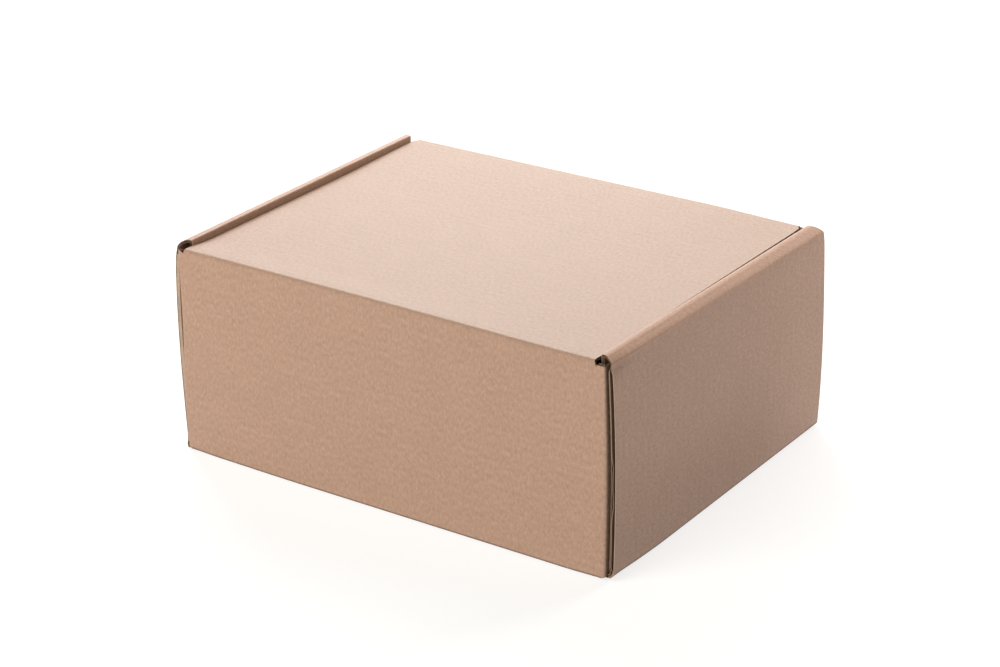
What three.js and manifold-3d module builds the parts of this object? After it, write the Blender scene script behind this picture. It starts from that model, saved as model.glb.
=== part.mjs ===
// Roll-end mailer carton of single-wall corrugated board, closed.
// One die-cut blank, folded without glue: a base, a rear wall and a front wall with corner dust
// flaps, two side walls that roll over the dust flaps and lock into slots in the base, and a
// hinged lid whose tuck flap goes in behind the front wall.
// Millimetres. +X is the long side, the lid hinges on the -Y wall, +Z is up, and the origin is the
// middle of the underside.
import * as THREE from 'three';
import { mergeVertices } from 'three/addons/utils/BufferGeometryUtils.js';
import Module from 'manifold-3d';

// ---- driving dimensions -------------------------------------------------------------------
const LENGTH = 300;          // outside, along X
const DEPTH = 232;           // outside, along Y
const LID_TOP = 127;         // outer face of the closed lid
const BOARD = 3;             // board thickness
const GAP = 0.3;             // air between layers that lie on each other

const FOLD_R = 3.3;          // outer radius of a wall's fold
const HINGE_R = 2.5;         // outer radius of the lid's hinge fold
const ROLL_SHOULDER = 127;   // height of the roll's outer crease corner, before rounding
const ROLL_RIM = 132;        // height of the roll's inner crease corner, before rounding
const ROLL_WIDTH = 9.6;      // outer face of the side wall to the inner face of its return panel
const ROLL_SETBACK = 5;      // how far the roll stops short of the side wall's ends
const ROLL_CUT_FROM = 122;   // height where the slanting cut to that setback begins

const WALL_TOP_CORNER = 124.8;   // cut top edge of the rear wall beside the lid
const FRONT_TOP = 123.7;         // cut top edge of the front wall
const DUST_LENGTH = 92;          // dust flap, from the outer face of its wall
const DUST_TOP = 121;
const DUST_CHAMFER = 22;

const TAB_LENGTH = 40;       // locking tabs on the return panels, along Y
const TAB_AT = 56;           // tab centres, each side of the middle
const TUCK_LENGTH = 60;      // tuck flap, measured down its outer face
const TUCK_LEAN = 8.5;       // degrees that the tuck flap leans inward from the front wall
const TUCK_CORNER = 20;      // chamfer with rounded ends at the tuck flap's corners

const HX = LENGTH / 2;
const HY = DEPTH / 2;
const DUST_X = HX - BOARD - GAP;          // outer face of the dust flaps
const ROLL_IN = HX - ROLL_WIDTH;          // inner face of the return panels
const LID_HX = ROLL_IN - 0.5;             // half width of the lid
const HINGE_HX = ROLL_IN - 0.3;           // half width of the hinge fold on the rear wall
const ARC = 4;                            // segments in a rounded fold

const wasm = await Module();
wasm.setup();

// ---- helpers ------------------------------------------------------------------------------
function solidOf(geometry) {
  const g = geometry.clone();
  for (const name of Object.keys(g.attributes)) if (name !== 'position') g.deleteAttribute(name);
  const m = mergeVertices(g, 1e-4);
  return new wasm.Manifold(new wasm.Mesh({
    numProp: 3,
    vertProperties: new Float32Array(m.attributes.position.array),
    triVerts: new Uint32Array(m.index.array),
  }));
}

function meshOf(solid, name, material) {
  const out = solid.getMesh();
  const g = new THREE.BufferGeometry();
  g.setAttribute('position', new THREE.BufferAttribute(new Float32Array(out.vertProperties), 3));
  g.setIndex(new THREE.BufferAttribute(new Uint32Array(out.triVerts), 1));
  g.computeVertexNormals();
  const mesh = new THREE.Mesh(g, material);
  mesh.name = name;
  return mesh;
}

// A 2D outline pushed along one axis. plane 'yz' runs along X, 'xz' along Y and 'xy' along Z.
function prism(points, plane, from, to) {
  const shape = new THREE.Shape(points.map(([a, b]) => new THREE.Vector2(a, b)));
  const g = new THREE.ExtrudeGeometry(shape, { depth: to - from, bevelEnabled: false, steps: 1 });
  g.translate(0, 0, from);
  const m = new THREE.Matrix4();
  if (plane === 'yz') m.set(0, 0, 1, 0, 1, 0, 0, 0, 0, 1, 0, 0, 0, 0, 0, 1);
  if (plane === 'xz') {
    // (x, z, t) to (x, t, z) is a mirror, so the push runs backwards to keep the faces outward
    g.translate(0, 0, -(from + to));
    m.set(1, 0, 0, 0, 0, 0, -1, 0, 0, 1, 0, 0, 0, 0, 0, 1);
  }
  if (plane !== 'xy') g.applyMatrix4(m);
  return solidOf(g);
}

function box(x0, x1, y0, y1, z0, z1) {
  const g = new THREE.BoxGeometry(x1 - x0, y1 - y0, z1 - z0);
  g.translate((x0 + x1) / 2, (y0 + y1) / 2, (z0 + z1) / 2);
  return solidOf(g);
}

// The section of a folded board. path is the outer face and turns left at each fold, with the
// board on its left; radii holds the outer radius of each fold.
function strip(path, radii, thick = BOARD, segments = ARC) {
  const P = path.map((p) => new THREE.Vector2(...p));
  const outer = [];
  const inner = [];
  const left = (d) => new THREE.Vector2(-d.y, d.x);
  for (let i = 0; i < P.length; i++) {
    if (i === 0 || i === P.length - 1) {
      const d = i === 0 ? P[1].clone().sub(P[0]) : P[i].clone().sub(P[i - 1]);
      d.normalize();
      outer.push(P[i].clone());
      inner.push(P[i].clone().addScaledVector(left(d), thick));
      continue;
    }
    const a = P[i].clone().sub(P[i - 1]).normalize();
    const b = P[i + 1].clone().sub(P[i]).normalize();
    const turn = Math.acos(THREE.MathUtils.clamp(a.dot(b), -1, 1));
    const r = radii[i - 1];
    const back = r * Math.tan(turn / 2);
    const start = P[i].clone().addScaledVector(a, -back);
    const centre = start.clone().addScaledVector(left(a), r);
    const from = Math.atan2(start.y - centre.y, start.x - centre.x);
    for (let k = 0; k <= segments; k++) {
      const t = from + (turn * k) / segments;
      outer.push(new THREE.Vector2(centre.x + r * Math.cos(t), centre.y + r * Math.sin(t)));
      if (r > thick + 0.05) {
        const q = r - thick;
        inner.push(new THREE.Vector2(centre.x + q * Math.cos(t), centre.y + q * Math.sin(t)));
      }
    }
    if (r <= thick + 0.05) {
      const mid = left(a).add(left(b)).normalize();
      inner.push(P[i].clone().addScaledVector(mid, thick / Math.cos(turn / 2)));
    }
  }
  return [...outer, ...inner.reverse()].map((v) => [v.x, v.y]);
}

function mirrorX(solid) {
  return solid.mirror([1, 0, 0]);
}

// ---- tray: base, walls, dust flaps and rolled sides, one folded sheet -----------------------
// the hinge fold's rounded outer corner, in (y, z)
function hingeArc(fromDeg, toDeg) {
  const pts = [];
  for (let k = 0; k <= 3; k++) {
    const t = THREE.MathUtils.degToRad(fromDeg + ((toDeg - fromDeg) * k) / 3);
    pts.push([-HY + HINGE_R + HINGE_R * Math.cos(t), LID_TOP - HINGE_R + HINGE_R * Math.sin(t)]);
  }
  return pts;
}

// base with the rear and front walls, a U in section, and the mitred half of the hinge fold
const uPath = strip([[-HY, 110], [-HY, 0], [HY, 0], [HY, FRONT_TOP]], [FOLD_R, FOLD_R]);
let tray = prism(uPath, 'yz', -(DUST_X - FOLD_R + 0.8), DUST_X - FOLD_R + 0.8);
const rearHead = [[-HY, 109], ...hingeArc(180, 138), [-HY + BOARD, LID_TOP - BOARD - 0.2], [-HY + BOARD, 109]]
  .reverse();
tray = tray.add(prism(rearHead, 'yz', -HINGE_HX, HINGE_HX));

// rear wall running round its corners into the dust flaps, and the same at the front
function cornerWall(sign, top) {
  const y = -HY * sign;
  const end = y + DUST_LENGTH * sign;
  let path = [[-DUST_X, end], [-DUST_X, y], [DUST_X, y], [DUST_X, end]];
  if (sign < 0) path = path.map(([px, py]) => [-px, py]);
  let wall = prism(strip(path, [FOLD_R, FOLD_R]), 'xy', BOARD + GAP + 0.1, top);
  // dust flaps: lower than the wall, with a chamfer at the free top and bottom corners
  const reach = (v) => y + v * sign;
  const poly = (pts) => (sign > 0 ? pts : pts.slice().reverse());
  const over = prism(poly([
    [reach(FOLD_R + 4), 140], [reach(FOLD_R + 4), DUST_TOP + 2], [reach(FOLD_R + 6), DUST_TOP],
    [reach(DUST_LENGTH - DUST_CHAMFER), DUST_TOP], [reach(DUST_LENGTH + 1), DUST_TOP - DUST_CHAMFER - 1],
    [reach(DUST_LENGTH + 1), 140],
  ]), 'yz', -DUST_X - 1, DUST_X + 1);
  const under = prism(poly([
    [reach(DUST_LENGTH - 10), 0], [reach(DUST_LENGTH + 1), 0], [reach(DUST_LENGTH + 1), 14],
  ]), 'yz', -DUST_X - 1, DUST_X + 1);
  return wall.subtract(over).subtract(under);
}
const hingeSpan = box(-HINGE_HX, HINGE_HX, -HY - 1, -HY + BOARD + 1, 112, 140);
tray = tray.add(cornerWall(1, WALL_TOP_CORNER).subtract(hingeSpan)).add(cornerWall(-1, FRONT_TOP));

// side wall, its roll over the dust flaps, and the return panel down to the base
const sideSection = strip(
  [[DUST_X - FOLD_R + 0.5, 0], [HX, 0], [HX, ROLL_SHOULDER], [ROLL_IN, ROLL_RIM], [ROLL_IN, BOARD + GAP + 0.1]],
  [FOLD_R, 4, 2],
);
let side = prism(sideSection, 'xz', -HY + 0.5, HY - 0.5);
for (const s of [1, -1]) {
  const cut = [[s * (HY + 2), ROLL_CUT_FROM], [s * (HY - 0.5), ROLL_CUT_FROM], [s * (HY - ROLL_SETBACK), LID_TOP],
    [s * (HY - ROLL_SETBACK), 140], [s * (HY + 2), 140]];
  side = side.subtract(prism(s > 0 ? cut.slice().reverse() : cut, 'yz', ROLL_IN - 1, HX + 1));
  const y0 = Math.min(s * (HY - ROLL_SETBACK - 0.5), s * (HY + 2));
  side = side.subtract(box(ROLL_IN - 1, ROLL_IN + BOARD + 0.15, y0, y0 + ROLL_SETBACK + 2.5, BOARD + 0.05, ROLL_CUT_FROM + 0.5));
}
for (const s of [1, -1]) {
  const c = s * TAB_AT;
  const h = TAB_LENGTH / 2;
  const tab = [[c - h + 3, 0.3], [c + h - 3, 0.3], [c + h, 3.3], [c + h, 12], [c - h, 12], [c - h, 3.3]];
  side = side.add(prism(tab, 'yz', ROLL_IN, ROLL_IN + BOARD));
}
const slots = [1, -1].map((s) => box(ROLL_IN - 0.3, ROLL_IN + BOARD + 0.3, s * TAB_AT - TAB_LENGTH / 2 - 0.8,
  s * TAB_AT + TAB_LENGTH / 2 + 0.8, -1, BOARD + GAP + 0.1));
for (const slot of slots) tray = tray.subtract(slot).subtract(mirrorX(slot));
tray = tray.add(side).add(mirrorX(side));

// ---- lid with its tuck flap, one folded sheet ---------------------------------------------
const lean = THREE.MathUtils.degToRad(TUCK_LEAN);
const frontY = HY - BOARD - 0.4;
const tip = [frontY - TUCK_LENGTH * Math.sin(lean), LID_TOP - TUCK_LENGTH * Math.cos(lean)];
const lidSection = strip([tip, [frontY, LID_TOP], [-HY + HINGE_R, LID_TOP]], [FOLD_R]);
// the strip's free end at the hinge gives way to the mitred half of the hinge fold
const innerEnd = lidSection.findIndex(([y, z]) => Math.abs(y - (-HY + HINGE_R)) < 1e-6 && Math.abs(z - LID_TOP) < 1e-6);
const mitre = hingeArc(180, 138).map(([y, z]) => [LID_TOP - z - HY, LID_TOP - (y + HY)]).reverse();
lidSection.splice(innerEnd, 2, [-HY + HINGE_R, LID_TOP], ...mitre.slice().reverse().slice(1), [-HY + BOARD + 0.2, LID_TOP - BOARD]);
let lid = prism(lidSection, 'yz', -LID_HX, LID_HX);
for (const s of [1, -1]) {
  const x = (v) => s * (LID_HX - v);
  const pts = [[s * (LID_HX + 1), LID_TOP - 5.5], [x(2), LID_TOP - 5.5], [x(4), LID_TOP - TUCK_LENGTH + TUCK_CORNER],
    [x(6.5), LID_TOP - TUCK_LENGTH + 10], [x(12), LID_TOP - TUCK_LENGTH + 4], [x(TUCK_CORNER), LID_TOP - TUCK_LENGTH - 1],
    [s * (LID_HX + 1), LID_TOP - TUCK_LENGTH - 1]];
  lid = lid.subtract(prism(s < 0 ? pts : pts.slice().reverse(), 'xz', 60, HY));
}

// ---- the carton -----------------------------------------------------------------------------
const kraft = new THREE.MeshStandardMaterial({ color: 0xb9937a, roughness: 0.86, metalness: 0 });
const kraftLid = new THREE.MeshStandardMaterial({ color: 0xc7a48d, roughness: 0.86, metalness: 0 });

const carton = new THREE.Group();
carton.add(meshOf(tray, 'tray', kraft));
carton.add(meshOf(lid, 'lid', kraftLid));

export default carton;
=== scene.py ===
"""Looks of the corrugated mailer: the folded board with its liners, flutes and cut edges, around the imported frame.

Lengths are millimetres until a mesh is made. The blank lies flat in (u, s): u runs along the flutes, which is the
box's long side, and s runs across them, from the tuck flap's tip over the lid, down the rear wall, under the base and
up the front wall. Every panel is mapped from there, so the washboard and the fibres run on over the folds.
"""

import math

import bpy
import numpy as np
from mathutils import Matrix, Vector


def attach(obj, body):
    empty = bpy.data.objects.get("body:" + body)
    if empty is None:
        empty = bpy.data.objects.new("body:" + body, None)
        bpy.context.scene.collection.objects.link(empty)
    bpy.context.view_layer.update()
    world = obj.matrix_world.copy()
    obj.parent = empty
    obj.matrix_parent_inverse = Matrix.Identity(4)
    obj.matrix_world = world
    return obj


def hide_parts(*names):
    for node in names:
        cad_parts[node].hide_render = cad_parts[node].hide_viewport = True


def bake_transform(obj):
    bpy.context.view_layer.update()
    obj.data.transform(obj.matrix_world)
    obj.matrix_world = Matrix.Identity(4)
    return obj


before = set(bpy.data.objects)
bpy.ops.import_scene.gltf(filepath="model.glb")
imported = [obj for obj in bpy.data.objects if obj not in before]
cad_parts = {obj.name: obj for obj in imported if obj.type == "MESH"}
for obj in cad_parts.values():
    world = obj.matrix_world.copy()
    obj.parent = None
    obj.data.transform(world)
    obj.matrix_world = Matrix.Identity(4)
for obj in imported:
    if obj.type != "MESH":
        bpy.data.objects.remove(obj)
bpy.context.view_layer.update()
MM = 0.001

# ---------------------------------------------------------------- dimensions
HX, HY = 150.0, 116.0
LID_TOP = 127.0
T = 3.0  # board
LINER = 0.34
PITCH = 6.3  # flutes
FOLD_R = 3.0
HINGE_R = 2.2
DUST_X = 146.9
CORNER_X = 145.5
ROLL_IN = 140.4
CORNER_TOP = 124.8
FRONT_TOP = 123.7
TUCK = 60.0
LEAN = math.radians(8.5)


def smooth(a, b, v):
    t = np.clip((np.asarray(v, float) - a) / (b - a), 0, 1)
    return t * t * (3 - 2 * t)


# ---------------------------------------------------------------- sections of the folded board
class Section:
    """A dense outer line in 2D that turns left, with the board on its left: place, inward normal and thickness factor by length."""

    def __init__(self, pts, folds, crush):
        self.p = np.array(pts, float)
        d = np.diff(self.p, axis=0)
        ln = np.hypot(d[:, 0], d[:, 1])
        self.t = np.concatenate([[0], np.cumsum(ln)])
        d = d / ln[:, None]
        v = np.vstack([d[:1], (d[1:] + d[:-1]) / 2, d[-1:]])
        n = np.stack([-v[:, 1], v[:, 0]], 1)
        self.n = n / np.linalg.norm(n, axis=1)[:, None]
        self.k = np.ones(len(self.t))
        for (i, j), c in zip(folds, crush):
            a, b = self.t[i], self.t[j]
            self.k = np.minimum(self.k, 1 - c * smooth(a - 4.0, a - 0.3, self.t) * (1 - smooth(b + 0.3, b + 4.0, self.t)))
        self.folds = [(self.t[i], self.t[j]) for i, j in folds]

    def __call__(self, t):
        t = np.asarray(t, float)
        f = [np.interp(t, self.t, c) for c in (self.p[:, 0], self.p[:, 1], self.n[:, 0], self.n[:, 1], self.k)]
        m = np.hypot(f[2], f[3])
        return f[0], f[1], f[2] / m, f[3] / m, f[4]

    def where(self, axis, value, after=0.0):
        """First length past `after` at which the line crosses value on that axis."""
        c = self.p[:, axis] - value
        for i in range(len(c) - 1):
            if self.t[i + 1] > after and c[i] * c[i + 1] <= 0 and c[i] != c[i + 1]:
                return self.t[i] + (self.t[i + 1] - self.t[i]) * c[i] / (c[i] - c[i + 1])
        raise ValueError(value)


def filleted(corners, radii, n=14):
    """Outer line through corners with rounded folds. Returns points and the index range of each fold."""
    c = [np.array(p, float) for p in corners]
    pts, folds = [c[0]], []
    for i in range(1, len(c) - 1):
        a = (c[i] - c[i - 1]) / np.linalg.norm(c[i] - c[i - 1])
        b = (c[i + 1] - c[i]) / np.linalg.norm(c[i + 1] - c[i])
        turn = math.acos(max(-1, min(1, float(a @ b))))
        r = radii[i - 1]
        start = c[i] - a * r * math.tan(turn / 2)
        centre = start + np.array([-a[1], a[0]]) * r
        f0 = math.atan2(*(start - centre)[::-1])
        folds.append((len(pts), len(pts) + n))
        for k in range(n + 1):
            g = f0 + turn * k / n
            pts.append(centre + r * np.array([math.cos(g), math.sin(g)]))
    pts.append(c[-1])
    return pts, folds


# spine, in (y, z): tuck flap's tip, lid, rear wall, base, front wall
front_y = HY - T - 0.4
tip = (front_y - TUCK * math.sin(LEAN), LID_TOP - TUCK * math.cos(LEAN))
pts, folds = filleted(
    [tip, (front_y, LID_TOP), (-HY, LID_TOP), (-HY, 0), (HY, 0), (HY, FRONT_TOP)],
    [3.0, HINGE_R, 1.7, FOLD_R],
)
spine = Section(pts, folds, [0.3, 0.42, 0.4, 0.25])
(F0, F1), (H0, H1), (B0, B1), (C0, C1) = spine.folds
S_END = spine.t[-1]
S_MID = (B1 + C0) / 2  # under the base's middle
BASE_HALF = (C0 - B1) / 2
S_TRAY = spine.where(1, 120.5, H1 - 1)  # where the tray's rear wall hands over to the hinge strip
S_LID = H0 - 4.5
S_CORNER = spine.where(1, CORNER_TOP, H1 - 1)


def side_section(rim_z, dip, rim, flat):
    """Base, side wall, roll and return panel, in (x, z); length equals x under the base."""
    r = FOLD_R
    pts = [(0, 0)] + [(HX - r + r * math.sin(g), r - r * math.cos(g)) for g in np.linspace(0, math.pi / 2, 13)]
    fold = (1, 13)
    z1, zs = 125.2, 4.0
    for z in np.concatenate([np.arange(zs, 120, 4.0), np.linspace(120.5, z1 - 0.15, 26)]):
        pts.append((HX - dip * math.exp(-(((z - 124.3) / 1.5) ** 2)), z))
    a, b = HX - (ROLL_IN + rim), rim_z - z1
    i0 = len(pts)
    for g in np.linspace(0, math.pi / 2, 40):
        pts.append((HX - a + a * math.cos(g) ** flat, z1 + b * math.sin(g) ** flat))
    for g in np.linspace(math.pi / 2, math.pi, 14)[1:]:
        pts.append((ROLL_IN + rim + rim * math.cos(g), rim_z - rim + rim * math.sin(g)))
    i1 = len(pts) - 1
    pts.append((ROLL_IN, 0.3))
    return Section(pts, [fold, (i0 - 6, i1)], [0.25, 0.45])


SIDE = {1: side_section(129.4, 0.08, 1.2, 1.22), -1: side_section(131.2, 0.12, 0.8, 0.92)}
pts, folds = filleted([(0, -HY), (CORNER_X, -HY), (DUST_X, -HY + 8.5), (DUST_X, -HY + 92)], [1.1, 25.0])
corner = Section(pts, folds, [0.5, 0.0])
U_FLAP_END = corner.t[-1]
U_CUT = 143.4  # the rear and front walls' folds end here

# ---------------------------------------------------------------- shape of the side panels' ends
END = {  # half lengths by side and end: side wall, its top, at the rim, return panel
    (1, -1): (114.3, 114.0, 112.0, 111.6),
    (1, 1): (115.2, 114.4, 110.0, 106.6),
    (-1, -1): (111.9, 110.6, 107.4, 106.8),
    (-1, 1): (115.0, 112.0, 105.0, 104.6),
}


def half_length(side, end, t):
    sec, (e0, e1, e2, e3) = SIDE[side], END[side, end]
    up = sec.where(1, 118.0, 160)
    crease = sec.where(1, 124.45, 160)
    rim = sec.where(0, ROLL_IN + 2.5, up)
    back = sec.where(1, 124.0, rim + 3)
    foot = [112.4, 112.8, 115.2] if end < 0 else [115.4, 115.4, 115.4]
    return np.interp(t, [143.9, 146.0, 147.3, 152.5, up, crease, rim, back], [*foot, e0, e0, e1, e2, e3])


def tuck_half(s):
    """Half width of the lid and tuck flap at length s, before the lid's own left and right."""
    s = np.asarray(s, float)
    w = np.full(s.shape, 139.9)
    d = F0 - s  # past the fold, towards the tip
    w = w - 2.6 * smooth(-9.5, -4.5, d) - 4.0 * np.clip(d / F0, 0, 1)
    r = 22.0
    k = np.clip((r - s) / r, 0, 1)
    return w - r * (1 - np.sqrt(np.clip(1 - k**2, 0, 1)))


def lid_x(u, s):
    """The lid stands a little left of the middle, with a clear gap at its right edge that widens to the front."""
    h = tuck_half(s)
    on = 1 - smooth(H0, H1 + 2, s)  # 1 on the lid, 0 on the wall
    f = np.clip((H0 - s) / (H0 - F1), 0, 1)
    right = h - on * (1.8 + 0.35 * f)
    left = h - on * (0.25 + 0.1 * f)
    return np.where(u > 0, u * right / 139.9, u * left / 139.9)


# ---------------------------------------------------------------- the box isn't perfectly true
NEAR_BOW = (0.80, 3.40, -4.60, -0.75)
FAR_BOW = (-0.57, 8.78, -13.04, 4.25)
LEFT_BOW = (-1.29, 6.27, -1.50, -4.29)


def bow(c, z):
    """How far a side wall stands out at height z: a cubic in the height, held above the lower crease."""
    h = np.clip(z, 0, 124) / 127
    return c[0] + h * (c[1] + h * (c[2] + h * c[3]))


def warp(p):
    """Bows, leans and dents of the real box, by place, in mm."""
    x, y, z = p[..., 0].copy(), p[..., 1].copy(), p[..., 2].copy()
    x0, y0, z0 = x.copy(), y.copy(), z.copy()
    h = np.clip(z0 / 127, 0, 1.05)
    far = np.clip((y0 + 116) / 232, 0, 1)
    # right side wall: bows out, and leans in at the top, more at the near end
    on = smooth(143.8, 147.0, x0)
    x += on * ((1 - far) * bow(NEAR_BOW, z0) + far * bow(FAR_BOW, z0))
    # left side wall
    on = smooth(143.0, 147.2, -x0)
    x -= on * bow(LEFT_BOW, z0)
    # the bottom's rear corners lift
    z += 0.5 * smooth(122, 143, np.abs(x0)) * (1 - smooth(2, 12, z0)) * (1 - smooth(-113, -88, y0))
    z += 1.5 * smooth(145.5, 147.2, x0) * (1 - smooth(3, 10, z0)) * (1 - smooth(-113, -60, y0))
    # the rear wall stands out at its foot
    y -= 0.9 * smooth(-140, -60, x0) * (1 - smooth(0, 80, z0)) * (1 - smooth(-116, -60, y0))
    # the hinge's fold stands up in a low ridge, higher on the left, and the lid's front edge is lifted on the left
    ridge = np.clip(0.95 - 0.006 * x0 - 0.00003 * x0**2, 0.1, 2)
    inner = 1 - smooth(139.9, 140.3, np.abs(x0))
    left = x0 < -139.9
    lift = np.where(left, (1.2 + 1.4 * smooth(139.9, 143.5, -x0)) * (1 - smooth(-114.5, -109, y0)), ridge * inner * (1 - smooth(-112.5, -92, y0)))
    z += lift * smooth(108, 125.5, z0)
    z += 1.15 * (1 - smooth(70, 139, x0)) * inner * smooth(20, 112, y0) * smooth(90, 124, z0) * (1 - smooth(112.8, 113.0, y0))
    return np.stack([x, y, z], -1)


# ---------------------------------------------------------------- panels: blank to place
def on_spine(u, s, w, x=None, k_one=0.0):
    y, z, ny, nz, k = spine(s)
    k = k + (1 - k) * k_one
    return np.stack([u if x is None else x, y + ny * w * k, z + nz * w * k], -1)


def roll_rise(side, y, z):
    """How far a side's crease and roll stand above its section: the right one sinks towards the far end."""
    d = y + 112
    crease, rim = (1.0 - 0.0072 * d, 0.6 - 0.0061 * d) if side > 0 else (0.3 - 0.002 * d, 0.003 * d - 0.2)
    q = smooth(124.3, 129.0, z)
    return smooth(104, 124, z) * ((1 - q) * crease + q * rim)


def map_mid(u, s, w):
    """Base, its folds, and the side walls with their rolls."""
    u, s, w = np.broadcast_arrays(u, s, w)
    au, sg = np.abs(u), np.sign(u)
    rel = s - S_MID
    ex = np.clip(np.abs(rel) - BASE_HALF, 0, None)
    out = on_spine(u, s, w, k_one=smooth(139.0, 139.9, au))
    for side in (1, -1):
        m = (au > 143.65) & (sg == side)
        if not m.any():
            continue
        sx, sz, nx, nz, k = SIDE[side](au[m])
        fold_len = np.where(rel[m] < 0, B1 - B0, C1 - C0)
        base = np.where(rel[m] < 0, HY - 1.7, HY - FOLD_R)
        yy = base + ex[m] * (115.4 - base) / fold_len
        flat = spine(s[m])[0]
        reach = np.where(rel[m] < 0, half_length(side, -1, au[m]), half_length(side, 1, au[m]))
        yy = np.where(ex[m] > 0, np.sign(rel[m]) * yy, flat) * reach / 115.4
        # the right crease's near end is crushed from outside
        c = 0.62 * (side > 0) * (1 - smooth(-113.0, -98.0, yy)) * smooth(119.0, 123.5, sz) * (1 - smooth(125.5, 129.0, sz)) * (sx > 144)
        ww = (w[m] + (T - w[m]) * c) * k
        zz = sz + nz * ww
        out[m] = np.stack([side * (sx + nx * ww), yy, zz + roll_rise(side, yy, zz)], -1)
    return out


def map_wall(end):
    """Rear (end -1) or front (end 1) wall with its corners and dust flaps."""
    def f(u, s, w):
        u, s, w = np.broadcast_arrays(u, s, w)
        au, sg = np.abs(u), np.sign(u)
        out = on_spine(u, s, w, k_one=smooth(139.0, 139.9, au))
        m = au > U_CUT
        cx, cy, nx, ny, k = corner(au[m])
        z = spine(s[m])[1]
        top = CORNER_TOP if end < 0 else FRONT_TOP
        hi = np.interp(au[m], [149, 161, 168, U_FLAP_END - 22, U_FLAP_END], [top, 124.2 if end < 0 else 121.0, 121.0, 121.0, 99.0])
        foot = 1.7 if end < 0 else FOLD_R
        lo = np.interp(au[m], [U_CUT, U_CUT + 0.6, 145.0, 146.4, 149, 153, U_FLAP_END - 10, U_FLAP_END], [foot, 1.2, 1.2, 1.9, 3.9, 3.7, 3.7, 13.0])
        z = lo + (z - foot) / (top - foot) * (hi - lo)
        y = cy + ny * w[m] * k
        out[m] = np.stack([sg[m] * (cx + nx * w[m] * k), y if end < 0 else -y, z], -1)
        if end < 0:  # the rear wall's left corner stands in from the side wall, less towards the bottom
            out[..., 0] += 1.6 * (sg < 0) * smooth(140.1, 144.6, au) * (1 - smooth(149, 158, au)) * smooth(10, 90, out[..., 2])
        return out
    return f


def map_lid(u, s, w):
    u, s, w = np.broadcast_arrays(u, s, w)
    return on_spine(u, s, w, x=lid_x(u, s))


# ---------------------------------------------------------------- grids
def lines(*spans):
    """Grid lines: each span is (from, to, step); they meet end to end."""
    out = [spans[0][0]]
    for a, b, step in spans:
        n = max(1, round(abs(b - a) / step))
        out += [a + (b - a) * i / n for i in range(1, n + 1)]
    return np.array(out)


def both(half):
    return np.concatenate([-half[::-1][:-1], half])


SIDE_TOP = {s: SIDE[s].where(1, 120.0, 160) for s in (1, -1)}
RETURN_Z = 3.5
T_END = {s: SIDE[s].where(1, RETURN_Z, SIDE_TOP[s] + 20) for s in (1, -1)}
TAB_END = {s: SIDE[s].where(1, 0.4, SIDE_TOP[s] + 20) for s in (1, -1)}
ROLL_BACK = {s: SIDE[s].where(1, 122.0, SIDE_TOP[s] + 8) for s in (1, -1)}
A_SLOT, B_SLOT = 35.2, 76.8
A_TAB, B_TAB = 36.0 * 115.4 / 106.6, 76.0 * 115.4 / 106.6
mid_lines = lines((0, 135, 7.5), (135, 139.9, 4.9), (139.9, 140.1, 1), (140.1, U_CUT, 1.65))


def u_mid(side):
    return lines(
        (U_CUT, 143.7, 1), (143.7, 143.9, 1), (143.9, HX - FOLD_R, 1.6), (HX - FOLD_R, HX + 1.7, 0.95),
        (HX + 1.7, SIDE_TOP[side], 6.0), (SIDE_TOP[side], SIDE_TOP[side] + 3.2, 0.55), (SIDE_TOP[side] + 3.2, ROLL_BACK[side], 0.62),
        (ROLL_BACK[side], T_END[side], 6.5), (T_END[side], TAB_END[side], 3),
    )


U_MID = np.concatenate([-u_mid(-1)[::-1], -mid_lines[::-1][1:], mid_lines[1:], u_mid(1)[1:]])
wall_side = lines((U_CUT, corner.folds[0][0], 0.6), (*corner.folds[0], 0.3), (corner.folds[0][1], 155, 2.4), (155, U_FLAP_END, 7.0))
U_WALL = both(np.concatenate([mid_lines, wall_side[1:]]))
U_LID = both(lines((0, 135, 7.5), (135, 139.9, 2.45)))
base_half = np.unique(np.round(np.concatenate([np.arange(0, 112, 7.0), [A_SLOT, B_SLOT, A_TAB, B_TAB, 109.5]]), 6))


def s_mid_lines():
    a = [S_MID - v for v in base_half[::-1] if v < BASE_HALF - 1]
    b = [S_MID + v for v in base_half[1:] if v < BASE_HALF - 1]
    return np.concatenate([np.linspace(B0, B1, 7), a, b, np.linspace(C0, C1, 7)])


S_MIDL = s_mid_lines()
s_at = lambda z: spine.where(1, z, H1 - 1)
s_front = lambda z: spine.where(1, z, C1 - 1)
S_REAR = np.concatenate([[S_CORNER], lines((S_TRAY, s_at(4.6), 6.5)), [B0]])
S_FRONT = np.concatenate([[C1], lines((s_front(4.6), S_END, 6.5))])
S_LIDL = lines((0, 22, 2.2), (22, F0 - 3, 6.0), (F0 - 3, F1 + 3, 0.9), (F1 + 3, S_LID, 6.6))
S_CREASE = lines((S_LID, H0 - 0.9, 1.2), (H0 - 0.9, H1 + 0.9, 0.45), (H1 + 0.9, S_TRAY, 1.0))


def in_mid(u, s):
    au, y = np.abs(u), np.abs(s - S_MID)
    ok = ~((y > BASE_HALF) & (au > U_CUT) & (au < 143.9))
    ok &= ~((au > 140.1) & (au < 143.7) & (y > A_SLOT) & (y < B_SLOT))
    end = np.where(u > 0, T_END[1], T_END[-1])
    tab = np.where(u > 0, TAB_END[1], TAB_END[-1])
    ok &= (au < end) | ((au < tab) & (y > A_TAB) & (y < B_TAB))
    return ok & ((y < BASE_HALF) | (au > 143.9) | (au < U_CUT))


def solid_mid(u, s):
    """True where board is, or where it goes on in another panel."""
    y = np.abs(s - S_MID)
    lim = np.where(s < S_MID, BASE_HALF + B1 - B0, BASE_HALF + C1 - C0)
    return in_mid(u, s) & ((y < lim) | (np.abs(u) < U_CUT))


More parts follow.
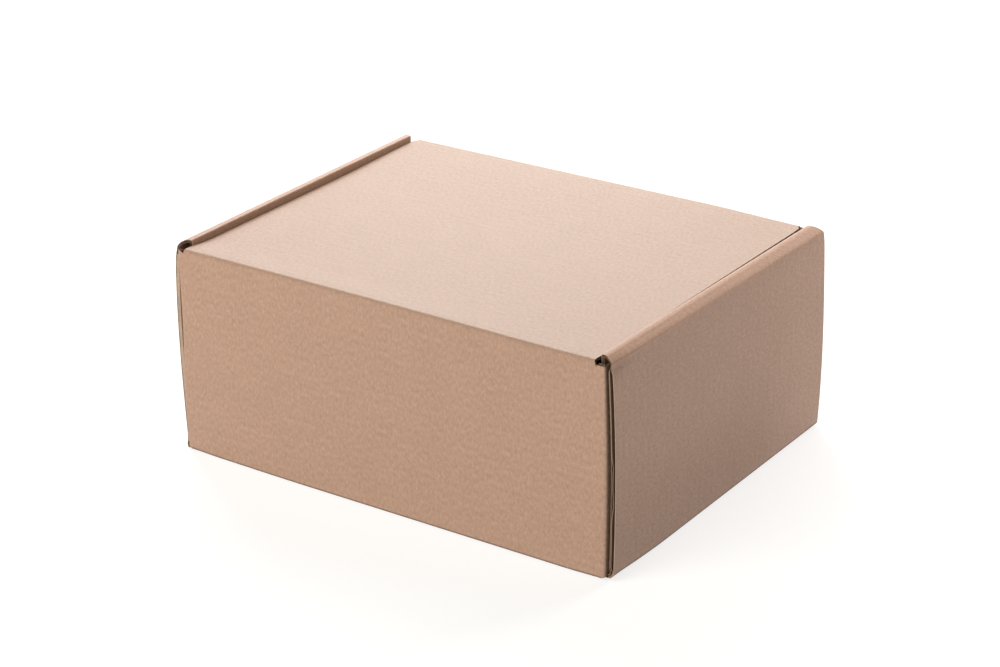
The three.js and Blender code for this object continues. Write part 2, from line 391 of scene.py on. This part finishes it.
def in_wall(end):
    def f(u, s):
        au, z = np.abs(u), spine(s)[1]
        ok = (au < U_FLAP_END) & (z > 1.0)
        if end < 0:
            ok &= ~((s < S_TRAY) & (au < 139.9))
        return ok
    return f


def solid_wall(end):
    def f(u, s):
        au, z = np.abs(u), spine(s)[1]
        ok = (au < U_FLAP_END) & ((z > 1.7 if end < 0 else z > FOLD_R) | (au < U_CUT))
        if end < 0:
            return ok & ((s > S_CORNER) | (au < 139.9))
        return ok & (s < S_END)
    return f


def solid_lid(u, s):
    return (np.abs(u) < 139.9) & (s > 0)


def everywhere(u, s):
    return np.ones(np.broadcast(u, s).shape, bool)


# ---------------------------------------------------------------- flutes
def wave(u, s):
    """Depth of the fluted paper's middle, in mm below the outer face."""
    amp = (T - 2 * LINER - 0.24) / 2 - 0.02
    w = T / 2 + amp * np.sin(2 * np.pi * (s - S_MID) / PITCH + 0.9)
    # right side wall's near cut edge: the fluted paper lies back against the inner liner, and is crushed outward low down
    d = 115.4 + (s - S_MID)
    t = u - (HX + 1.7) + FOLD_R  # height on the side wall
    edge = 2.42 - 0.95 * smooth(74, 66, t) * smooth(34, 44, t) * (0.75 + 0.25 * np.sin(t * 1.9)) - 0.35 * smooth(34, 26, t) * (1 + 0.6 * np.sin(t * 1.1))
    near = (1 - smooth(3.0, 6.5, d)) * (u > HX + 2) * (u < SIDE_TOP[1] + 4)
    return w + (edge - w) * near


class Board:
    """One piece of board: its liners and the fluted paper near its cut edges, each a closed sheet."""

    def __init__(self):
        self.v, self.f, self.mat, self.uv = [], [], [], []
        self.n = 0

    def _sheet(self, patches, depth0, depth1, mats, cells=None):
        """depth0 and depth1 are functions of (u, s). Surfaces of all patches are welded, then closed by walls round their rim."""
        index, p0, p1, uv, faces = {}, [], [], [], []
        for k, (us, ss, fn, inside) in enumerate(patches):
            uu, sv = np.meshgrid(us, ss, indexing="ij")
            a, b = fn(uu, sv, depth0(uu, sv)), fn(uu, sv, depth1(uu, sv))
            cu, cs = np.meshgrid((us[1:] + us[:-1]) / 2, (ss[1:] + ss[:-1]) / 2, indexing="ij")
            ok = inside(cu, cs)
            if cells is not None:
                ok &= cells[k](cu, cs)
            used = np.zeros(uu.shape, bool)
            used[:-1, :-1] |= ok
            used[1:, :-1] |= ok
            used[:-1, 1:] |= ok
            used[1:, 1:] |= ok
            ids = np.full(uu.shape, -1)
            key = np.round(np.concatenate([a, b], -1), 3) + 0.0
            for i, j in zip(*np.nonzero(used)):
                q = tuple(key[i, j])
                n = index.get(q)
                if n is None:
                    n = index[q] = len(p0)
                    p0.append(a[i, j])
                    p1.append(b[i, j])
                    uv.append((uu[i, j] / 100, sv[i, j] / 100))
                ids[i, j] = n
            i, j = np.nonzero(ok)
            faces.append(np.stack([ids[i, j], ids[i, j + 1], ids[i + 1, j + 1], ids[i + 1, j]], 1))
        f = np.concatenate(faces)
        n = len(p0)
        e = np.concatenate([f[:, [i, (i + 1) % 4]] for i in range(4)])
        seen = {(int(a), int(b)) for a, b in e}
        rim = np.array([(a, b) for a, b in seen if (b, a) not in seen])
        walls = np.stack([rim[:, 1], rim[:, 0], rim[:, 0] + n, rim[:, 1] + n], 1)
        quads = np.concatenate([f, f[:, ::-1] + n, walls])
        mat = np.concatenate([np.full(len(f), mats[0]), np.full(len(f), mats[1]), np.full(len(walls), mats[2])])
        self.v.append(np.concatenate([np.array(p0), np.array(p1)]))
        self.uv.append(np.concatenate([np.array(uv), np.array(uv)]))
        self.f.append(quads + self.n)
        self.mat.append(mat)
        self.n += 2 * n

    def build(self, patches, solids):
        const = lambda d: (lambda u, s: np.full(np.broadcast(u, s).shape, d))
        self._sheet(patches, const(0.0), const(LINER), (0, 3, 2))
        self._sheet(patches, const(T - LINER), const(T), (3, 1, 4))
        # fluted paper, in a band along the cut edges
        fine, cells = [], []
        for (us, ss, fn, inside), solid in zip(patches, solids):
            lo, hi = min(ss), max(ss)
            step = PITCH / 8
            more = np.arange(math.ceil(lo / step) * step, hi, step)
            keep = np.array([m for m in more if np.abs(ss - m).min() > 0.22])
            fs = np.unique(np.concatenate([ss, keep]))
            if ss[0] > ss[-1]:
                fs = fs[::-1]
            fine.append((us, fs, fn, inside))

            def band(u, s, solid=solid):
                r = 11.0
                inner = np.ones(u.shape, bool)
                for du, ds in ((r, 0), (-r, 0), (0, r), (0, -r), (r / 2, 0), (-r / 2, 0), (0, r / 2), (0, -r / 2)):
                    inner &= solid(u + du, s + ds)
                return ~inner
            cells.append(band)
        self._sheet(fine, lambda u, s: wave(u, s) - 0.12, lambda u, s: wave(u, s) + 0.12, (3, 3, 2), cells)

    def make(self, name, materials):
        v = warp(np.concatenate(self.v)) * MM
        f = np.concatenate(self.f)
        mat = np.concatenate(self.mat)
        uv = np.concatenate(self.uv)
        me = bpy.data.meshes.new(name)
        me.from_pydata(v.tolist(), [], f.tolist())
        me.polygons.foreach_set("material_index", mat.astype(np.int32))
        layer = me.uv_layers.new(name="blank")
        loops = np.zeros(len(me.loops), np.int32)
        me.loops.foreach_get("vertex_index", loops)
        layer.data.foreach_set("uv", uv[loops].astype(np.float32).ravel())
        for m in materials:
            me.materials.append(m)
        me.shade_smooth()
        me.update()
        me.set_sharp_from_angle(angle=math.radians(38))
        ob = bpy.data.objects.new(name, me)
        bpy.context.scene.collection.objects.link(ob)
        return ob


# ---------------------------------------------------------------- materials
def nodes_of(mat):
    mat.use_nodes = True
    nt = mat.node_tree
    nt.nodes.clear()
    out = nt.nodes.new("ShaderNodeOutputMaterial")
    sh = nt.nodes.new("ShaderNodeBsdfPrincipled")
    nt.links.new(sh.outputs[0], out.inputs[0])
    return nt, sh


def math_node(nt, op, a, b=None, c=None, clamp=False):
    n = nt.nodes.new("ShaderNodeMath")
    n.operation = op
    n.use_clamp = clamp
    for i, v in enumerate((a, b, c)):
        if v is None:
            continue
        if hasattr(v, "default_value"):
            nt.links.new(v, n.inputs[i])
        else:
            n.inputs[i].default_value = v
    return n.outputs[0]


def scaled(nt, vec, sx, sy, sz=1.0):
    n = nt.nodes.new("ShaderNodeMapping")
    n.inputs["Scale"].default_value = (sx, sy, sz)
    nt.links.new(vec, n.inputs["Vector"])
    return n.outputs[0]


def noise(nt, vec, scale, detail=2.0, rough=0.5):
    n = nt.nodes.new("ShaderNodeTexNoise")
    n.inputs["Scale"].default_value = scale
    n.inputs["Detail"].default_value = detail
    n.inputs["Roughness"].default_value = rough
    nt.links.new(vec, n.inputs["Vector"])
    return n.outputs[0]


def ramp(nt, value, stops):
    n = nt.nodes.new("ShaderNodeValToRGB")
    n.color_ramp.elements[0].position, n.color_ramp.elements[0].color = stops[0][0], (*stops[0][1], 1)
    n.color_ramp.elements[1].position, n.color_ramp.elements[1].color = stops[-1][0], (*stops[-1][1], 1)
    for pos, col in stops[1:-1]:
        e = n.color_ramp.elements.new(pos)
        e.color = (*col, 1)
    nt.links.new(value, n.inputs[0])
    return n.outputs[0]


def mix(nt, kind, fac, a, b):
    n = nt.nodes.new("ShaderNodeMix")
    n.data_type = "RGBA"
    n.blend_type = kind
    for sock, v in ((n.inputs[0], fac), (n.inputs[6], a), (n.inputs[7], b)):
        if hasattr(v, "default_value"):
            nt.links.new(v, sock)
        else:
            sock.default_value = (*v, 1) if isinstance(v, tuple) else v
    return n.outputs[2]


def step(nt, value, a, b, fall=False):
    """0 to 1 between a and b, smooth, or 1 to 0."""
    n = nt.nodes.new("ShaderNodeMapRange")
    n.interpolation_type = "SMOOTHSTEP"
    n.clamp = True
    n.inputs["From Min"].default_value, n.inputs["From Max"].default_value = a, b
    n.inputs["To Min"].default_value, n.inputs["To Max"].default_value = (1.0, 0.0) if fall else (0.0, 1.0)
    nt.links.new(value, n.inputs["Value"])
    return n.outputs[0]


def kraft(name, base, tone=1.0, painted_light_and_shade=False):
    """Uncoated kraft liner over flutes; with the flag on, the outside also carries painted shade and painted light. The
    blank's own coordinates are in tenths of a metre.
    """
    mat = bpy.data.materials.new(name)
    nt, sh = nodes_of(mat)
    uv = nt.nodes.new("ShaderNodeUVMap")
    uv.uv_map = "blank"
    vec = uv.outputs[0]
    mm = scaled(nt, vec, 100, 100)  # millimetres
    sep = nt.nodes.new("ShaderNodeSeparateXYZ")
    nt.links.new(mm, sep.inputs[0])
    # fibres lie across the flutes, along s
    pulp = noise(nt, scaled(nt, mm, 1.0, 0.6), 0.6, 4.0, 0.62)
    fibre = noise(nt, scaled(nt, mm, 2.6, 0.42), 1.0, 3.0, 0.6)
    cloud = noise(nt, mm, 0.045, 3.0, 0.55)
    blot = noise(nt, mm, 0.19, 2.0, 0.5)
    fleck = noise(nt, scaled(nt, mm, 1.9, 0.8), 1.3, 1.0, 0.4)
    flute = math_node(nt, "SINE", math_node(nt, "MULTIPLY", sep.outputs[1], 2 * math.pi / PITCH))
    # tone: 1 is the plain colour
    v = math_node(nt, "MULTIPLY_ADD", math_node(nt, "SUBTRACT", pulp, 0.5), 0.74, 1.0)
    v = math_node(nt, "MULTIPLY_ADD", math_node(nt, "SUBTRACT", fibre, 0.5), 0.50, v)
    v = math_node(nt, "MULTIPLY_ADD", math_node(nt, "SUBTRACT", cloud, 0.5), 0.10, v)
    v = math_node(nt, "MULTIPLY_ADD", math_node(nt, "SUBTRACT", blot, 0.5), 0.05, v)
    v = math_node(nt, "MULTIPLY_ADD", flute, 0.011, v)
    dark = math_node(nt, "MULTIPLY", math_node(nt, "SUBTRACT", fleck, 0.70, clamp=True), 2.2)
    v = math_node(nt, "SUBTRACT", v, dark)
    roll = None
    if painted_light_and_shade:
        au = math_node(nt, "ABSOLUTE", sep.outputs[0])
        along = math_node(nt, "SUBTRACT", sep.outputs[1], S_MID)
        out = math_node(nt, "SUBTRACT", math_node(nt, "ABSOLUTE", along), BASE_HALF)
        # painted shade: a dark contact-shadow line under the bottom folds
        under = math_node(nt, "MULTIPLY", step(nt, out, -1.0, 0.0), step(nt, out, 2.0, 3.2, True))
        under = math_node(nt, "MULTIPLY", under, step(nt, au, 143.0, 144.5, True))
        under2 = math_node(nt, "MULTIPLY", step(nt, au, 145.5, 147.0), step(nt, au, 150.6, 152.2, True))
        v = math_node(nt, "MULTIPLY_ADD", math_node(nt, "MAXIMUM", under, under2), -0.56, v)
        # right side: painted shade makes it darker low down, and painted light makes it lighter at the far end
        side = math_node(nt, "MULTIPLY", step(nt, sep.outputs[0], 150.5, 152.5), step(nt, sep.outputs[0], 265.0, 275.0, True))
        low = math_node(nt, "MULTIPLY", step(nt, sep.outputs[0], 168.0, 228.0, True), step(nt, along, 10.0, 100.0, True))
        far = step(nt, along, 30.0, 110.0)
        v = math_node(nt, "MULTIPLY_ADD", math_node(nt, "MULTIPLY", side, low), -0.13, v)
        v = math_node(nt, "MULTIPLY_ADD", math_node(nt, "MULTIPLY", side, far), 0.05, v)
        # painted light: the right roll's top band, made lighter and warmer
        roll = math_node(nt, "MULTIPLY", step(nt, au, SIDE_TOP[1] + 3.5, SIDE_TOP[1] + 6.0), step(nt, au, SIDE_TOP[1] + 15, SIDE_TOP[1] + 18, True))
    r, g, b = (c * tone for c in base)
    lo, hi = 0.4, 1.4
    hue = lambda f, k: tuple(c * f for c in (r, g * (1 + 0.02 * k), b * (1 + 0.05 * k)))
    col = ramp(nt, math_node(nt, "MULTIPLY_ADD", v, 1 / (hi - lo), -lo / (hi - lo)), [(0.0, hue(lo, -3)), (0.6, hue(1.0, 0)), (1.0, hue(hi, 2))])
    col = mix(nt, "MULTIPLY", step(nt, noise(nt, mm, 0.28, 3.0, 0.6), 0.4, 0.62), col, (1.015, 0.985, 0.978))
    # painted light on the right roll's top band
    if roll is not None:
        col = mix(nt, "MULTIPLY", roll, col, (1.14, 1.03, 0.953))
    nt.links.new(col, sh.inputs["Base Color"])
    sh.inputs["Specular IOR Level"].default_value = 0.45
    rough = math_node(nt, "MULTIPLY_ADD", pulp, 0.16, 0.50)
    nt.links.new(rough, sh.inputs["Roughness"])
    bump = nt.nodes.new("ShaderNodeBump")
    bump.inputs["Strength"].default_value = 1.0
    bump.inputs["Distance"].default_value = 0.00006
    height = math_node(nt, "MULTIPLY_ADD", fibre, 0.55, pulp)
    nt.links.new(height, bump.inputs["Height"])
    wash = nt.nodes.new("ShaderNodeBump")
    wash.inputs["Strength"].default_value = 1.0
    wash.inputs["Distance"].default_value = 0.000007
    nt.links.new(flute, wash.inputs["Height"])
    nt.links.new(bump.outputs[0], wash.inputs["Normal"])
    nt.links.new(wash.outputs[0], sh.inputs["Normal"])
    return mat


def cut_edge(name, base, spread):
    """Torn and cut paper: the liners' rims and the fluted paper."""
    mat = bpy.data.materials.new(name)
    nt, sh = nodes_of(mat)
    tc = nt.nodes.new("ShaderNodeTexCoord")
    mm = scaled(nt, tc.outputs["Object"], 1000, 1000, 1000)
    a = noise(nt, mm, 0.9, 4.0, 0.65)
    b = noise(nt, mm, 0.12, 2.0, 0.5)
    v = math_node(nt, "MULTIPLY_ADD", a, 0.65, math_node(nt, "MULTIPLY", b, 0.35))
    col = ramp(nt, v, [(0.3, tuple(c * (1 - spread) for c in base)), (0.5, base), (0.72, tuple(min(1, c * (1 + spread)) for c in base))])
    nt.links.new(col, sh.inputs["Base Color"])
    sh.inputs["Specular IOR Level"].default_value = 0.2
    rough = math_node(nt, "MULTIPLY_ADD", a, 0.1, 0.85)
    nt.links.new(rough, sh.inputs["Roughness"])
    bump = nt.nodes.new("ShaderNodeBump")
    bump.inputs["Strength"].default_value = 0.8
    bump.inputs["Distance"].default_value = 0.0001
    nt.links.new(a, bump.inputs["Height"])
    nt.links.new(bump.outputs[0], sh.inputs["Normal"])
    return mat


KRAFT = (0.428, 0.2738, 0.1956)
M_OUT = kraft("kraft_liner_outside", KRAFT, 1.0, True)
M_IN = kraft("kraft_liner_inside", KRAFT, 0.97)
M_CUT = cut_edge("board_cut_edge", (0.45, 0.335, 0.255), 0.28)
M_FLUTE = cut_edge("fluted_paper", (0.25, 0.165, 0.11), 0.22)
# painted shade: the inner liner's rim gets a darker copy of the cut-edge colour
M_CUT_IN = cut_edge("board_inner_cut_edge", (0.27, 0.20, 0.15), 0.28)
MATS = [M_OUT, M_IN, M_CUT, M_FLUTE, M_CUT_IN]

# ---------------------------------------------------------------- the pieces
tray = Board()
mid = (U_MID, S_MIDL, map_mid, in_mid)
rear = (U_WALL, S_REAR, map_wall(-1), in_wall(-1))
frontw = (U_WALL, S_FRONT, map_wall(1), in_wall(1))
tray.build([mid, rear, frontw], [solid_mid, solid_wall(-1), solid_wall(1)])
# the left side wall's rear cut edge is crushed shut
tray._sheet(
    [mid], lambda u, s: np.full(u.shape, LINER + 0.02), lambda u, s: np.full(u.shape, T - LINER - 0.02), (2, 2, 2),
    [lambda u, s: (u < -HX - 2) & (u > -SIDE_TOP[-1] - 1) & (s < B0 + 0.9)],
)
tray_board = tray.make("tray_board", MATS)

lid = Board()
lid.build([(U_LID, S_LIDL, map_lid, everywhere)], [solid_lid])
lid_board = lid.make("lid_board", MATS)

crease = Board()
crease.build([(U_LID, S_CREASE, map_lid, everywhere)], [solid_lid])
hinge_crease = crease.make("hinge_crease", MATS)

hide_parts("tray")
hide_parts("lid")
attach(tray_board, "tray")
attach(lid_board, "lid")
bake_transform(hinge_crease)

# ---------------------------------------------------------------- floor, light, camera
me = bpy.data.meshes.new("floor")
R = 30.0
me.from_pydata([(-R, -R, 0), (R, -R, 0), (R, R, 0), (-R, R, 0)], [], [(0, 1, 2, 3)])
floor = bpy.data.objects.new("floor", me)
bpy.context.scene.collection.objects.link(floor)
fm = bpy.data.materials.new("floor_white")
nt, sh = nodes_of(fm)
sh.inputs["Base Color"].default_value = (0.35, 0.35, 0.35, 1)
sh.inputs["Emission Color"].default_value = (1.0, 1.0, 1.0, 1)
sh.inputs["Emission Strength"].default_value = 0.76
sh.inputs["Roughness"].default_value = 0.9
sh.inputs["Specular IOR Level"].default_value = 0.1
me.materials.append(fm)

world = bpy.data.worlds.new("studio")
bpy.context.scene.world = world
world.use_nodes = True
bg = world.node_tree.nodes["Background"]
bg.inputs[0].default_value = (1, 1, 1, 1)
bg.inputs[1].default_value = 0.0


def area(name, place, target, size, power, colour=(1, 1, 1)):
    d = bpy.data.lights.new(name, "AREA")
    d.shape = "RECTANGLE"
    d.size, d.size_y = size
    d.energy = power
    d.color = colour
    o = bpy.data.objects.new(name, d)
    bpy.context.scene.collection.objects.link(o)
    o.location = place
    o.rotation_mode = "QUATERNION"
    o.rotation_quaternion = (Vector(target) - Vector(place)).to_track_quat("-Z", "Y")
    return o


area("back", (-0.2, 1.7, 0.8), (0, 0, 0.1), (1.6, 0.9), 19.1, (0.993, 0.995, 1.0))
area("back_left", (-0.9, 0.8, 1.1), (0, 0, 0.12), (0.9, 0.9), 22.1, (0.923, 0.946, 1.0))
area("sheen", (-0.7, 1.0, 0.52), (-0.03, 0.03, 0.12), (0.6, 0.4), 2.5, (0.847, 1.0, 0.9))
area("far_end", (0.45, 0.9, 0.45), (0.15, 0.1, 0.08), (0.3, 0.3), 5.5, (1.0, 0.861, 0.746))
area("front_left", (-1.0, -1.6, 0.5), (0, 0, 0.06), (1.2, 0.8), 9.8, (1.0, 0.812, 0.764))
area("front_up", (-0.5, -1.5, 1.6), (0, 0, 0.06), (1.2, 0.8), 27.0, (1.0, 0.979, 0.826))

view = bpy.context.scene.view_settings
view.view_transform = "Standard"
view.look = "None"
view.exposure = 0.0
view.gamma = 1.0

AZ, EL, ROLL = math.radians(34.746), math.radians(23.625), math.radians(-0.717)
FOCAL_PX, TX, TY, DIST = 2642.5, 1.44, -61.15, 1574.2
back = np.array([math.sin(AZ) * math.cos(EL), -math.cos(AZ) * math.cos(EL), math.sin(EL)])
right = np.cross(-back, [0, 0, 1])
right /= np.linalg.norm(right)
up = np.cross(right, -back)
r2 = math.cos(ROLL) * right + math.sin(ROLL) * up
u2 = -math.sin(ROLL) * right + math.cos(ROLL) * up
m3 = np.stack([r2, u2, back], 1)
place = -(r2 * TX + u2 * TY - back * DIST)
cam_data = bpy.data.cameras.new("camera")
cam_data.sensor_width = 36.0
cam_data.sensor_fit = "HORIZONTAL"
cam_data.lens = FOCAL_PX / 1000 * 36.0
cam_data.clip_start, cam_data.clip_end = 0.05, 50
cam = bpy.data.objects.new("camera", cam_data)
bpy.context.scene.collection.objects.link(cam)
cam.matrix_world = Matrix([[*m3[i], place[i] * MM] for i in range(3)] + [[0, 0, 0, 1]])
bpy.context.scene.camera = cam
